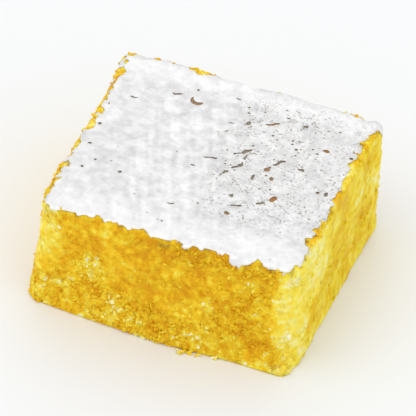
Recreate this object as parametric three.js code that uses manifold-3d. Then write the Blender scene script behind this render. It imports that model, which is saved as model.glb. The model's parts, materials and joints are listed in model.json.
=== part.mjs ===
// Coconut barfi: one square cut from a pressed slab of coconut fudge, with a sheet of silver leaf laid on top.
// Millimetres, +Z up. +X runs to the right along the front cut face, which faces -Y.
// The origin is the middle of the footprint, on the surface that the sweet rests on.
//
// coconut_block  the pressed coconut: four knife-cut sides, worn upright corners, a crumbled top rim
//                and a flat underside, as it came off the tray
// silver_leaf    the edible leaf on the pressed top: it follows the top's swells, stops short of the
//                rim in a torn edge, and has small rents where it split over the coconut

import * as THREE from "three";
import { mergeVertices } from "three/addons/utils/BufferGeometryUtils.js";
import Module from "manifold-3d";

const wasm = await Module();
wasm.setup();

// ---------------------------------------------------------------- sizes of the square
const WIDTH = 38.8; // along X, between the cut sides
const DEPTH = 38.5; // along Y
const HEIGHT = 17.4; // of the pressed slab
const CORNER_RADIUS = 2.1; // upright corners, rubbed round
const RIM_RADIUS = 1.0; // edge between the top and the cut sides
const FOOT_FLARE = 0.3; // how far the crumbling foot stands out
const FOOT_HEIGHT = 3.0; // height over which it does
const FACET = 1.5; // mean spacing of the grid that the surface is made on
const CROWDING = 0.42; // how far the grid's lines crowd towards the rim and the upright corners

// How far each corner stands from its true place, because the cuts were made by hand: [x, y].
const SKEW = {
  top: { fl: [0.0, -0.7], fr: [-0.4, 0.9], br: [0.65, 0.7], bl: [0.1, 0.3] },
  foot: { fl: [0.4, 0.3], fr: [1.6, 0.4], br: [2.3, 0.0], bl: [0.1, 0.0] },
};

// The front cut swells towards its foot, most at the middle of its length.
const SWELL = 2.2;
// The right cut is drawn in a little at its foot, most at the middle of its depth.
const HOLLOW = 0.6;

// Relief, as [wavelength, height] pairs, both in millimetres.
const CUT_RELIEF = [
  [14.0, 0.36],
  [6.0, 0.26],
  [3.4, 0.3],
];
const TOP_RELIEF = [
  [13.0, 0.3],
  [4.6, 0.12],
];

// Bites where coconut has dropped from the rim and the upright corners.
const RIM_BITES = 30;
const RIM_BITE = { radius: [1.3, 2.4], depth: [0.25, 0.8] };
const CORNER_BITES = 3; // for each upright corner
const CORNER_BITE = { radius: [2.0, 3.2], depth: [0.3, 0.7] };

// ---------------------------------------------------------------- sizes of the leaf
const LEAF_GAP = 0.04; // between the leaf and the coconut
const LEAF_THICKNESS = 0.25; // drawn as a sheet that can be handled; the true leaf is far thinner
const LEAF_INSET = 1.0; // mean distance from the rim to the leaf's edge
const LEAF_RAG = [
  [6.5, 0.45],
  [2.2, 0.4],
]; // the torn edge, as [wavelength, height]
const LEAF_EDGE_STEP = 1.1; // spacing of points along the torn edge
const LEAF_CORNER = 1.6; // radius of the leaf's corners
// Rents: [x, y, half length, half width, turn in degrees]
const RENTS = [
  [7.4, 1.2, 1.5, 0.42, 24],
  [11.2, 3.4, 1.1, 0.36, -12],
  [9.2, -5.0, 0.8, 0.42, 8],
  [-3.6, 13.1, 1.3, 0.45, -20],
];

// ---------------------------------------------------------------- noise
// A number from 0 to 1 that depends only on three whole numbers and a seed.
function hash(i, j, k, seed) {
  let h =
    Math.imul(i | 0, 374761393) ^
    Math.imul(j | 0, 668265263) ^
    Math.imul(k | 0, 1274126177) ^
    Math.imul(seed | 0, 1103515245);
  h = Math.imul(h ^ (h >>> 13), 1540483477);
  h = Math.imul(h ^ (h >>> 15), 2246822519);
  return ((h ^ (h >>> 16)) >>> 0) / 4294967295;
}

const smooth = (t) => t * t * (3 - 2 * t);
const mix = (a, b, t) => a + (b - a) * t;
const clamp = (x, lo, hi) => Math.min(hi, Math.max(lo, x));

// Smooth noise from -1 to 1 with cells of size 1.
function noise(x, y, z, seed) {
  const [i, j, k] = [Math.floor(x), Math.floor(y), Math.floor(z)];
  const [u, v, w] = [smooth(x - i), smooth(y - j), smooth(z - k)];
  const at = (a, b, c) => hash(i + a, j + b, k + c, seed);
  const low = mix(
    mix(at(0, 0, 0), at(1, 0, 0), u),
    mix(at(0, 1, 0), at(1, 1, 0), u),
    v,
  );
  const high = mix(
    mix(at(0, 0, 1), at(1, 0, 1), u),
    mix(at(0, 1, 1), at(1, 1, 1), u),
    v,
  );
  return 2 * mix(low, high, w) - 1;
}

// The sum of several waves of noise, each a [wavelength, height] pair.
function relief(x, y, z, waves, seed) {
  return waves.reduce(
    (sum, [length, height], n) =>
      sum +
      height * noise(x / length + 9.3, y / length + 4.7, z / length, seed + n),
    0,
  );
}

const between = ([lo, hi], t) => mix(lo, hi, t);

// Draws evenly spaced grid lines, from -half to half, towards both ends.
const crowd = (x, half) =>
  x + (CROWDING * half * Math.sin((Math.PI * x) / half)) / Math.PI;
// The same from 0 to top, towards the top only.
const crowdUp = (z, top) =>
  z + (CROWDING * top * Math.sin((Math.PI * z) / top)) / Math.PI;

// ---------------------------------------------------------------- bites out of the rim and corners
function makeBites() {
  const bites = [];
  const [hx, hy] = [WIDTH / 2, DEPTH / 2];
  const around = 2 * (WIDTH + DEPTH);
  for (let n = 0; n < RIM_BITES; n++) {
    let s = ((n + 0.8 * hash(n, 1, 0, 5)) / RIM_BITES) * around;
    let place;
    if (s < WIDTH) place = [s - hx, -hy];
    else if ((s -= WIDTH) < DEPTH) place = [hx, s - hy];
    else if ((s -= DEPTH) < WIDTH) place = [hx - s, hy];
    else place = [-hx, hy - (s - WIDTH)];
    bites.push({
      at: new THREE.Vector3(...place, HEIGHT - 0.5 * hash(n, 2, 0, 5)),
      radius: between(RIM_BITE.radius, hash(n, 3, 0, 5)),
      depth: between(RIM_BITE.depth, hash(n, 4, 0, 5) ** 2),
    });
  }
  for (const [cx, cy] of [
    [-1, -1],
    [1, -1],
    [1, 1],
    [-1, 1],
  ])
    for (let n = 0; n < CORNER_BITES; n++) {
      const seed = 31 + 3 * cx + cy;
      bites.push({
        at: new THREE.Vector3(
          cx * (hx - 0.3 * CORNER_RADIUS),
          cy * (hy - 0.3 * CORNER_RADIUS),
          ((n + 0.2 + 0.6 * hash(n, 5, 0, seed)) / CORNER_BITES) * HEIGHT,
        ),
        radius: between(CORNER_BITE.radius, hash(n, 6, 0, seed)),
        depth: between(CORNER_BITE.depth, hash(n, 7, 0, seed)),
      });
    }
  return bites;
}
const bites = makeBites();

// ---------------------------------------------------------------- the surface of the block
// Moves a point of the plain box, [-W/2..W/2] by [-D/2..D/2] by [0..H], to its place on the sweet.
function place(x, y, z) {
  const [hx, hy] = [WIDTH / 2, DEPTH / 2];
  const p = new THREE.Vector3(x, y, z);

  // Upright corners: round in plan.
  const core = new THREE.Vector3(
    clamp(x, -(hx - CORNER_RADIUS), hx - CORNER_RADIUS),
    clamp(y, -(hy - CORNER_RADIUS), hy - CORNER_RADIUS),
    z,
  );
  const out = p.clone().sub(core);
  const reach = out.length();
  const square = Math.max(Math.abs(out.x), Math.abs(out.y));
  if (reach > 1e-9) p.copy(core).addScaledVector(out, square / reach);

  // Rim: the last stretch of the top and of the sides turns over an arc.
  const edge = Math.max(Math.abs(x) - hx, Math.abs(y) - hy); // 0 on the sides, below 0 on the top
  const inTop = clamp(1 + edge / RIM_RADIUS, 0, 1);
  const inSide = clamp(1 + (z - HEIGHT) / RIM_RADIUS, 0, 1);
  const wall = inTop >= 1 ? 1 : 0;
  const turn = wall
    ? (1 - inSide) * 0.5 + 0.5
    : z > HEIGHT - 1e-6
      ? inTop * 0.5
      : 1;
  // turn runs from 0 where the arc leaves the top, through 0.5 on the rim, to 1 where it joins the side.
  if (inTop > 0 && inSide > 0) {
    const angle = (turn * Math.PI) / 2;
    const sideways = new THREE.Vector3(out.x, out.y, 0).normalize();
    const arcOut = RIM_RADIUS * Math.sin(angle) - RIM_RADIUS * inTop;
    const arcDown = RIM_RADIUS * (1 - Math.cos(angle)) - (HEIGHT - z);
    p.addScaledVector(sideways, arcOut);
    p.z -= arcDown;
  }

  // The way the surface faces, for the relief.
  const facing = new THREE.Vector3();
  if (inTop > 0 && inSide > 0) {
    const angle = (turn * Math.PI) / 2;
    facing
      .set(out.x, out.y, 0)
      .normalize()
      .multiplyScalar(Math.sin(angle));
    facing.z = Math.cos(angle);
  } else if (inSide >= 1) facing.set(0, 0, 1);
  else facing.set(out.x, out.y, 0).normalize();
  if (facing.lengthSq() < 1e-9) facing.set(0, 0, 1);

  // Hand cuts: the four corners stand a little off, at the top and at the foot.
  const [u, v, w] = [x / WIDTH + 0.5, y / DEPTH + 0.5, z / HEIGHT];
  for (const axis of [0, 1]) {
    const at = (level) =>
      mix(
        mix(level.fl[axis], level.fr[axis], u),
        mix(level.bl[axis], level.br[axis], u),
        v,
      );
    p.setComponent(axis, p.getComponent(axis) + mix(at(SKEW.foot), at(SKEW.top), w));
  }
  const low = clamp(1 - w, 0, 1) ** 1.2;
  p.y -= SWELL * (1 - (2 * u - 1) ** 2) * (1 - v) ** 2 * low;
  p.x -= HOLLOW * (1 - (2 * v - 1) ** 2) * u ** 2 * low;

  // Relief of the cut sides and of the pressed top, blended over the rim.
  const upward = clamp(facing.z, 0, 1) ** 2;
  const cut = relief(p.x, p.y, p.z, CUT_RELIEF, 11);
  const top = relief(p.x, p.y, 0, TOP_RELIEF, 23);
  p.addScaledVector(facing, mix(cut, top, upward));

  // The foot flares a little.
  const foot = clamp(1 - z / FOOT_HEIGHT, 0, 1);
  p.addScaledVector(
    new THREE.Vector3(facing.x, facing.y, 0),
    FOOT_FLARE * foot * foot,
  );

  // Bites.
  for (const b of bites) {
    const far = Math.hypot(x - b.at.x, y - b.at.y, z - b.at.z);
    if (far < b.radius)
      p.addScaledVector(facing, -b.depth * smooth(1 - far / b.radius));
  }
  return p;
}

// ---------------------------------------------------------------- solids
// A closed geometry as a solid that can be cut and joined.
function solid(geometry) {
  const bare = geometry.clone();
  bare.deleteAttribute("normal");
  bare.deleteAttribute("uv");
  const merged = mergeVertices(bare, 1e-4);
  return new wasm.Manifold(
    new wasm.Mesh({
      numProp: 3,
      vertProperties: new Float32Array(merged.attributes.position.array),
      triVerts: new Uint32Array(merged.index.array),
    }),
  );
}

function geometryOf(manifold) {
  const m = manifold.getMesh();
  const points = new Float32Array(m.numVert * 3);
  for (let i = 0; i < m.numVert; i++)
    points.set(m.vertProperties.subarray(i * m.numProp, i * m.numProp + 3), 3 * i);
  const geometry = new THREE.BufferGeometry();
  geometry.setAttribute("position", new THREE.BufferAttribute(points, 3));
  geometry.setIndex(new THREE.BufferAttribute(new Uint32Array(m.triVerts), 1));
  geometry.computeVertexNormals();
  return geometry;
}

// Where a point of the even grid stands once its lines are crowded.
function gridPoint(x, y) {
  return [crowd(x, WIDTH / 2), crowd(y, DEPTH / 2)];
}

const NX = Math.round(WIDTH / FACET);
const NY = Math.round(DEPTH / FACET);
const NZ = Math.round(HEIGHT / FACET);
const SUNK = HEIGHT / NZ; // the grid goes one step below the foot, which is then sliced flat

function makeBlock() {
  const box = new THREE.BoxGeometry(
    WIDTH,
    DEPTH,
    HEIGHT + SUNK,
    NX,
    NY,
    NZ + 1,
  );
  const at = box.attributes.position;
  for (let i = 0; i < at.count; i++) {
    const [x, y] = gridPoint(at.getX(i), at.getY(i));
    const z = at.getZ(i) + (HEIGHT + SUNK) / 2 - SUNK;
    const p =
      z < -SUNK + 1e-6
        ? place(x, y, 0).setZ(-SUNK)
        : place(x, y, clamp(crowdUp(z, HEIGHT), 0, HEIGHT));
    at.setXYZ(i, p.x, p.y, p.z);
  }
  const tray = new THREE.BoxGeometry(3 * WIDTH, 3 * DEPTH, 3 * HEIGHT);
  tray.translate(0, 0, -1.5 * HEIGHT);
  return solid(box).subtract(solid(tray));
}

// The sheet between two copies of the top surface, out to the rim.
function makeTopSheet(lift, thickness) {
  const plane = new THREE.PlaneGeometry(WIDTH, DEPTH, NX, NY);
  const grid = plane.attributes.position;
  const count = grid.count;
  const points = new Float32Array(6 * count);
  for (let i = 0; i < count; i++) {
    const p = place(...gridPoint(grid.getX(i), grid.getY(i)), HEIGHT);
    points.set([p.x, p.y, p.z + lift + thickness], 3 * i);
    points.set([p.x, p.y, p.z + lift], 3 * (i + count));
  }
  const upper = Array.from(plane.index.array);
  const triangles = [...upper];
  for (let t = 0; t < upper.length; t += 3)
    triangles.push(upper[t] + count, upper[t + 2] + count, upper[t + 1] + count);
  const row = NX + 1;
  const rim = [];
  for (let i = 0; i < NX; i++) rim.push(i);
  for (let j = 0; j < NY; j++) rim.push(j * row + NX);
  for (let i = NX; i > 0; i--) rim.push(NY * row + i);
  for (let j = NY; j > 0; j--) rim.push(j * row);
  rim.forEach((a, n) => {
    const b = rim[(n + 1) % rim.length];
    triangles.push(a, b, b + count, a, b + count, a + count);
  });
  const geometry = new THREE.BufferGeometry();
  geometry.setAttribute("position", new THREE.BufferAttribute(points, 3));
  geometry.setIndex(triangles);
  return solid(geometry);
}

// The torn outline of the leaf, following the rim at LEAF_INSET.
function leafOutline() {
  const [hx, hy] = [WIDTH / 2 - LEAF_INSET, DEPTH / 2 - LEAF_INSET];
  const sides = [
    [-hx, -hy, 1, 0, 2 * hx],
    [hx, -hy, 0, 1, 2 * hy],
    [hx, hy, -1, 0, 2 * hx],
    [-hx, hy, 0, -1, 2 * hy],
  ];
  const edge = []; // [x, y, and the direction out of the leaf]
  for (const [x0, y0, dx, dy, length] of sides) {
    const steps = Math.round((length - 2 * LEAF_CORNER) / LEAF_EDGE_STEP);
    for (let n = 0; n <= steps; n++) {
      const s = LEAF_CORNER + (n / steps) * (length - 2 * LEAF_CORNER);
      edge.push([x0 + dx * s, y0 + dy * s, dy, -dx]);
    }
    // The corner at the end of this side.
    const [cx, cy] = [
      x0 + dx * (length - LEAF_CORNER) - dy * LEAF_CORNER,
      y0 + dy * (length - LEAF_CORNER) + dx * LEAF_CORNER,
    ];
    for (const turn of [30, 60]) {
      const a = THREE.MathUtils.degToRad(turn);
      const ox = dy * Math.cos(a) + dx * Math.sin(a);
      const oy = -dx * Math.cos(a) + dy * Math.sin(a);
      edge.push([cx + ox * LEAF_CORNER, cy + oy * LEAF_CORNER, ox, oy]);
    }
  }
  const torn = edge.map(([x, y, ox, oy]) => {
    const rag = clamp(relief(x, y, 3.1, LEAF_RAG, 47), -0.6, 1.2);
    const p = place(x - ox * rag, y - oy * rag, HEIGHT);
    return new THREE.Vector2(p.x, p.y);
  });
  return new THREE.Shape(torn);
}

// A rent: a lens with a slightly wandering edge.
function rent([x, y, long, wide, turn], n) {
  const shape = new THREE.Shape();
  const a = THREE.MathUtils.degToRad(turn);
  for (let i = 0; i < 10; i++) {
    const t = (i / 10) * 2 * Math.PI;
    const r = 0.8 + 0.4 * hash(i, n, 0, 61);
    const [px, py] = [long * r * Math.cos(t), wide * r * Math.sin(t)];
    const q = [
      x + px * Math.cos(a) - py * Math.sin(a),
      y + px * Math.sin(a) + py * Math.cos(a),
    ];
    if (i) shape.lineTo(...q);
    else shape.moveTo(...q);
  }
  shape.closePath();
  return shape;
}

function upright(shape) {
  const prism = new THREE.ExtrudeGeometry(shape, {
    depth: HEIGHT,
    bevelEnabled: false,
    steps: 1,
  });
  prism.translate(0, 0, HEIGHT / 2);
  return solid(prism);
}

function makeLeaf() {
  let leaf = makeTopSheet(LEAF_GAP, LEAF_THICKNESS).intersect(
    upright(leafOutline()),
  );
  RENTS.forEach((r, n) => {
    leaf = leaf.subtract(upright(rent(r, n)));
  });
  return leaf;
}

// ---------------------------------------------------------------- the sweet
const blockSolid = makeBlock();
const leafSolid = makeLeaf();

const blockGeometry = geometryOf(blockSolid);
const leafGeometry = geometryOf(leafSolid);

// Set the middle of the footprint on the origin.
blockGeometry.computeBoundingBox();
const middle = blockGeometry.boundingBox.getCenter(new THREE.Vector3());
blockGeometry.translate(-middle.x, -middle.y, 0);
leafGeometry.translate(-middle.x, -middle.y, 0);

const coconut = new THREE.MeshStandardMaterial({
  color: 0xe6b82e,
  roughness: 0.6,
  metalness: 0.0,
});
const silver = new THREE.MeshStandardMaterial({
  color: 0xe9e9ea,
  roughness: 0.45,
  metalness: 1.0,
});

const block = new THREE.Mesh(blockGeometry, coconut);
block.name = "coconut_block";
const leaf = new THREE.Mesh(leafGeometry, silver);
leaf.name = "silver_leaf";

const barfi = new THREE.Group();
barfi.name = "coconut_barfi";
barfi.add(block, leaf);

export default barfi;
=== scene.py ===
# Looks for the coconut barfi: a pressed, knife-cut square of yellow coconut with a sheet of silver leaf on top.
import json
import math

import bpy
import numpy as np
from mathutils import Matrix, Vector
from mathutils.bvhtree import BVHTree

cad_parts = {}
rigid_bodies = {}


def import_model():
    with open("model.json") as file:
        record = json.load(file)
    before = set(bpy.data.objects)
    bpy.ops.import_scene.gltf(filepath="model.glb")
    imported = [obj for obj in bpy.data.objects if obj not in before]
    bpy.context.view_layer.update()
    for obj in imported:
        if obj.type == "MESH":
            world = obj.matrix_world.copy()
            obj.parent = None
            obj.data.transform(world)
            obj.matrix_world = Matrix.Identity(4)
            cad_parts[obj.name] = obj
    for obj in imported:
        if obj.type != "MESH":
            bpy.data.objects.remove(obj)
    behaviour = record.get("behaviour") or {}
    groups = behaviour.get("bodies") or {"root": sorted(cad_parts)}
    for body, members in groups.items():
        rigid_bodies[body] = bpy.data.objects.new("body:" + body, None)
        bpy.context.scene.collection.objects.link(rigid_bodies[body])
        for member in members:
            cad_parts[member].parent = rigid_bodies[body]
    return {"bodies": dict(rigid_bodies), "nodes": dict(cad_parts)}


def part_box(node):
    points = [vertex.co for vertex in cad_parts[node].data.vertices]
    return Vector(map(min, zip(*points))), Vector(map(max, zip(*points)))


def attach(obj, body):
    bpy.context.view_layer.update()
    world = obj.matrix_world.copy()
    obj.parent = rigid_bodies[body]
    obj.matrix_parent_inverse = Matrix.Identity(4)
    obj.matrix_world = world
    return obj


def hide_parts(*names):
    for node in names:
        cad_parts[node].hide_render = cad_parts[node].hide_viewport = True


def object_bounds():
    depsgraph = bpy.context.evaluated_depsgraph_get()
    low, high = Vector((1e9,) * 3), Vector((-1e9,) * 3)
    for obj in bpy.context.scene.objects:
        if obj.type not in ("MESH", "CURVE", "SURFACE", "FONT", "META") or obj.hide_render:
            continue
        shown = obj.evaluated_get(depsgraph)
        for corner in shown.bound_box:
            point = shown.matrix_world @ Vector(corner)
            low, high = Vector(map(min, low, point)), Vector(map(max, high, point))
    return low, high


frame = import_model()
CAD_LO, CAD_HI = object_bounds()
MM = 0.001
BLOCK, LEAF = "coconut_block", "silver_leaf"
ROOT = next(iter(frame["bodies"]))
scene = bpy.context.scene


# ------------------------------------------------------------------ noise and small tools
def hashed(*cells, seed=0):
    """Numbers in 0..1 that depend only on whole-number arrays and a seed."""
    h = np.full(np.broadcast(*cells).shape, np.uint64(seed * 2654435761 + 97), np.uint64)
    for n, c in enumerate(cells):
        k = c.astype(np.int64).astype(np.uint64) + np.uint64(0x1E3779B97F4A7C15 + 77 * n)
        h = (h ^ k) * np.uint64(0xBF58476D1CE4E5B9)
        h ^= h >> np.uint64(29)
        h = h * np.uint64(0x94D049BB133111EB)
        h ^= h >> np.uint64(32)
    return (h >> np.uint64(11)).astype(np.float64) / float(1 << 53)


def value_noise(p, size, seed=0):
    """Smooth noise from -1 to 1 at points p (n, 3), with cells of the given size."""
    q = p / size
    i = np.floor(q).astype(np.int64)
    f = q - i
    f = f * f * f * (f * (f * 6 - 15) + 10)
    out = np.zeros(len(p))
    for dx in (0, 1):
        for dy in (0, 1):
            for dz in (0, 1):
                w = (
                    (f[:, 0] if dx else 1 - f[:, 0])
                    * (f[:, 1] if dy else 1 - f[:, 1])
                    * (f[:, 2] if dz else 1 - f[:, 2])
                )
                out += w * hashed(i[:, 0] + dx, i[:, 1] + dy, i[:, 2] + dz, seed=seed)
    return 2 * out - 1


def fractal(p, size, octaves=3, seed=0, gain=0.5):
    out, a, total = 0, 1.0, 0.0
    for n in range(octaves):
        out = out + a * value_noise(p + 13.7 * n * size, size / 2**n, seed + n)
        total += a
        a *= gain
    return out / total


def smoothstep(lo, hi, x):
    t = np.clip((x - lo) / (hi - lo), 0, 1)
    return t * t * (3 - 2 * t)


def new_mesh(name, verts, faces, attributes=None):
    """A smooth-shaded mesh from groups of faces, each group an array of faces with one number of corners."""
    mesh = bpy.data.meshes.new(name)
    faces = [np.asarray(f) for f in faces if len(f)]
    loops = np.concatenate([f.ravel() for f in faces]).astype(np.int32)
    sizes = np.concatenate([np.full(len(f), f.shape[1]) for f in faces])
    starts = np.concatenate([[0], np.cumsum(sizes)[:-1]]).astype(np.int32)
    mesh.vertices.add(len(verts))
    mesh.vertices.foreach_set("co", np.asarray(verts, np.float32).ravel())
    mesh.loops.add(len(loops))
    mesh.loops.foreach_set("vertex_index", loops)
    mesh.polygons.add(len(starts))
    mesh.polygons.foreach_set("loop_start", starts)
    mesh.update(calc_edges=True)
    mesh.validate()
    mesh.polygons.foreach_set("use_smooth", np.ones(len(mesh.polygons), bool))
    for key, values in (attributes or {}).items():
        a = mesh.attributes.new(key, "FLOAT", "POINT")
        a.data.foreach_set("value", np.asarray(values, np.float32))
    o = bpy.data.objects.new(name, mesh)
    scene.collection.objects.link(o)
    return o


def piece(o, material, replaces=None):
    if replaces:
        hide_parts(replaces)
    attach(o, ROOT)
    o.data.materials.append(material)
    return o


def vertex_normals(p, quads):
    n = np.cross(p[quads[:, 2]] - p[quads[:, 0]], p[quads[:, 3]] - p[quads[:, 1]])
    out = np.zeros_like(p)
    for k in range(4):
        for c in range(3):
            out[:, c] += np.bincount(quads[:, k], n[:, c], len(p))
    return out / np.maximum(np.linalg.norm(out, axis=1, keepdims=True), 1e-12)


def edges_of(quads):
    e = np.concatenate([quads[:, [0, 1]], quads[:, [1, 2]], quads[:, [2, 3]], quads[:, [3, 0]]])
    return np.unique(np.sort(e, axis=1), axis=0)


def smoothed(values, edges, times, share=0.5):
    """values averaged with their neighbours along the edges, a number of times."""
    n = len(values)
    degree = np.maximum(np.bincount(edges.ravel(), minlength=n), 1)
    for _ in range(times):
        total = np.bincount(edges[:, 0], values[edges[:, 1]], n) + np.bincount(
            edges[:, 1], values[edges[:, 0]], n
        )
        values = (1 - share) * values + share * total / degree
    return values


# ------------------------------------------------------------------ camera
# The view looks down on the sweet from a little to the right of its front cut face, through a long lens,
# turned so that upright edges lean to the right.
VIEW_AZ, VIEW_EL, VIEW_LEAN = math.radians(12.9), math.radians(38.6), math.radians(8.3)
VIEW_DISTANCE = 1.33
LENS = 806
centre = (CAD_LO + CAD_HI) / 2
back = Vector(
    (
        math.sin(VIEW_AZ) * math.cos(VIEW_EL),
        -math.cos(VIEW_AZ) * math.cos(VIEW_EL),
        math.sin(VIEW_EL),
    )
)
across = Vector((math.cos(VIEW_AZ), math.sin(VIEW_AZ), 0))
upward = across.cross(-back)
aim = Vector((centre.x, centre.y, centre.z)) - across * 0.00024 + upward * 0.00040
cam_data = bpy.data.cameras.new("camera")
cam = bpy.data.objects.new("camera", cam_data)
scene.collection.objects.link(cam)
cam_data.sensor_width = 36
cam_data.lens = LENS
cam_data.clip_start, cam_data.clip_end = 0.05, 20
cam.location = aim + back * VIEW_DISTANCE
cam.rotation_mode = "QUATERNION"
level = (-back).to_track_quat("-Z", "Y")
cam.rotation_quaternion = level @ Matrix.Rotation(VIEW_LEAN, 3, "Z").to_quaternion()
scene.camera = cam

scene.view_settings.view_transform = "Standard"
scene.view_settings.look = "None"
scene.view_settings.exposure = 0
scene.view_settings.gamma = 1


# ------------------------------------------------------------------ studio
def area(name, place, towards, size, watts, colour=(1, 1, 1)):
    data = bpy.data.lights.new(name, "AREA")
    data.shape = "DISK"
    data.size = size
    data.energy = watts
    data.color = colour
    o = bpy.data.objects.new(name, data)
    scene.collection.objects.link(o)
    o.location = place
    o.rotation_mode = "QUATERNION"
    o.rotation_quaternion = (Vector(towards) - Vector(place)).to_track_quat("-Z", "Y")
    return o


area("key", (-0.40, -0.34, 0.80), (0, 0, 0.01), 0.90, 1.7)
area("behind", (-0.16, 0.70, 0.60), (0, 0, 0.01), 0.80, 0.75)
area("right", (0.80, -0.30, 0.34), (0, 0, 0.01), 0.60, 0.5)
world = bpy.data.worlds.new("studio")
scene.world = world
world.use_nodes = True
world.node_tree.nodes["Background"].inputs["Color"].default_value = (1.0, 1.0, 1.0, 1)
world.node_tree.nodes["Background"].inputs["Strength"].default_value = 0.91


def make_floor():
    size = 6.0
    o = new_mesh(
        "floor",
        [(-size, -size, 0), (size, -size, 0), (size, size, 0), (-size, size, 0)],
        [np.array([[0, 1, 2, 3]])],
    )
    m = bpy.data.materials.new("floor")
    m.use_nodes = True
    b = m.node_tree.nodes["Principled BSDF"]
    b.inputs["Base Color"].default_value = (0.862, 0.880, 0.892, 1)
    b.inputs["Roughness"].default_value = 0.55
    b.inputs["Specular IOR Level"].default_value = 0.2
    o.data.materials.append(m)


make_floor()

# ------------------------------------------------------------------ the block's large form, from the CAD
BLOCK_LO, BLOCK_HI = (np.array(x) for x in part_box(BLOCK))
CORNER, RIM, FOOT = 2.0 * MM, 1.05 * MM, 0.35 * MM
block_mesh = frame["nodes"][BLOCK].data
block_tree = BVHTree.FromPolygons(
    [v.co.copy() for v in block_mesh.vertices], [tuple(q.vertices) for q in block_mesh.polygons]
)


def cast(start, way, far):
    hit = block_tree.ray_cast(Vector(start), Vector(way), far)
    return hit[3] if hit[0] is not None else math.nan


def wall_line(axis, sign, z):
    """The cut wall that faces sign along axis, at a height: its place at the middle and its slope along the wall."""
    along = np.linspace(-13, 13, 27) * MM
    start, way = np.zeros(3), np.zeros(3)
    way[axis] = -sign
    found = []
    for s in along:
        start[:] = 0
        start[axis], start[1 - axis], start[2] = sign * 40 * MM, s, z
        found.append(sign * (40 * MM - cast(start, way, 60 * MM)))
    slope, place = np.polyfit(along, np.array(found), 1)
    return place, slope


def measure_corners(low, high, top):
    """The block's eight corners, where its cut walls would meet if they weren't worn: [x side][y side][foot, top]."""
    corners = np.zeros((2, 2, 2, 2))
    for i, sx in enumerate((-1, 1)):
        for j, sy in enumerate((-1, 1)):
            at = []
            for z in (low, high):
                px, mx = wall_line(0, sx, z)  # x = px + mx y
                py, my = wall_line(1, sy, z)  # y = py + my x
                x = (px + mx * py) / (1 - mx * my)
                at.append(np.array([x, py + my * x]))
            rise = (at[1] - at[0]) / (high - low)
            corners[i, j, 0] = at[0] - rise * low
            corners[i, j, 1] = at[1] + rise * (top - high)
    return corners


down = [
    BLOCK_HI[2] + 5 * MM - cast((x, y, BLOCK_HI[2] + 5 * MM), (0, 0, -1), 0.05)
    for x in np.linspace(-14, 14, 15) * MM
    for y in np.linspace(-14, 14, 15) * MM
]
HEIGHT = float(np.median(down))
CORNERS = measure_corners(0.22 * HEIGHT, 0.78 * HEIGHT, HEIGHT)
MIDDLE = np.append(CORNERS.mean((0, 1, 2)), HEIGHT / 2)
SIZE = np.array(
    [
        (CORNERS[1, :, :, 0] - CORNERS[0, :, :, 0]).mean(),
        (CORNERS[:, 1, :, 1] - CORNERS[:, 0, :, 1]).mean(),
        HEIGHT,
    ]
)


def skew_at(p):
    """How far the block's hand-cut corners pull a point of the true square aside."""
    w = np.clip((p - MIDDLE) / SIZE + 0.5, 0, 1)
    out = np.zeros_like(p)
    for i in (0, 1):
        for j in (0, 1):
            for k in (0, 1):
                share = (
                    (w[:, 0] if i else 1 - w[:, 0])
                    * (w[:, 1] if j else 1 - w[:, 1])
                    * (w[:, 2] if k else 1 - w[:, 2])
                )
                true = MIDDLE[:2] + (np.array([i, j]) - 0.5) * SIZE[:2]
                out[:, :2] += share[:, None] * (CORNERS[i, j, k] - true)
    return out


def unskewed(p):
    """Points of the block brought back to the true square."""
    q = p.copy()
    for _ in range(3):
        q = p - skew_at(q)
    return q


def corner_distance(p, i, j):
    """How far each point is, in plan, from the middle of the worn upright corner (i, j)."""
    z = np.clip(p[:, 2:] / HEIGHT, 0, 1)
    at = CORNERS[i, j, 0] * (1 - z) + CORNERS[i, j, 1] * z
    inwards = np.array([0.5 - i, 0.5 - j]) * 2 * 0.6 * MM
    return np.hypot(*(p[:, :2] - at - inwards).T)


def box_lattice(spacing, top_band=None):
    """The surface of a box as a lattice: shares of its size (n, 3), quads, and the shape of the lattice.
    With top_band, only the top and that much of the sides below it."""
    nx, ny, nz = (int(round(s / spacing)) for s in SIZE)
    k0 = 0 if top_band is None else nz - int(round(top_band / spacing))

    def key(i, j, k):
        return (i * (ny + 1) + j) * (nz + 1) + k

    def cells(a, b):
        A, B = np.meshgrid(np.arange(*a), np.arange(*b), indexing="ij")
        return A.ravel(), B.ravel()

    quads = []
    I, K = cells((0, nx), (k0, nz))
    for j, turn in ((0, False), (ny, True)):
        q = np.stack([key(I, j, K), key(I + 1, j, K), key(I + 1, j, K + 1), key(I, j, K + 1)], -1)
        quads.append(q[:, ::-1] if turn else q)
    J, K = cells((0, ny), (k0, nz))
    for i, turn in ((nx, False), (0, True)):
        q = np.stack([key(i, J, K), key(i, J + 1, K), key(i, J + 1, K + 1), key(i, J, K + 1)], -1)
        quads.append(q[:, ::-1] if turn else q)
    I, J = cells((0, nx), (0, ny))
    quads.append(np.stack([key(I, J, nz), key(I + 1, J, nz), key(I + 1, J + 1, nz), key(I, J + 1, nz)], -1))
    if top_band is None:
        quads.append(np.stack([key(I, J + 1, 0), key(I + 1, J + 1, 0), key(I + 1, J, 0), key(I, J, 0)], -1))
    quads = np.concatenate(quads)
    keys, quads = np.unique(quads, return_inverse=True)
    quads = quads.reshape(-1, 4)
    index = np.stack([keys // (nz + 1) // (ny + 1), keys // (nz + 1) % (ny + 1), keys % (nz + 1)], -1)
    return index / np.array([nx, ny, nz]), quads, index, (nx, ny, nz)


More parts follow.
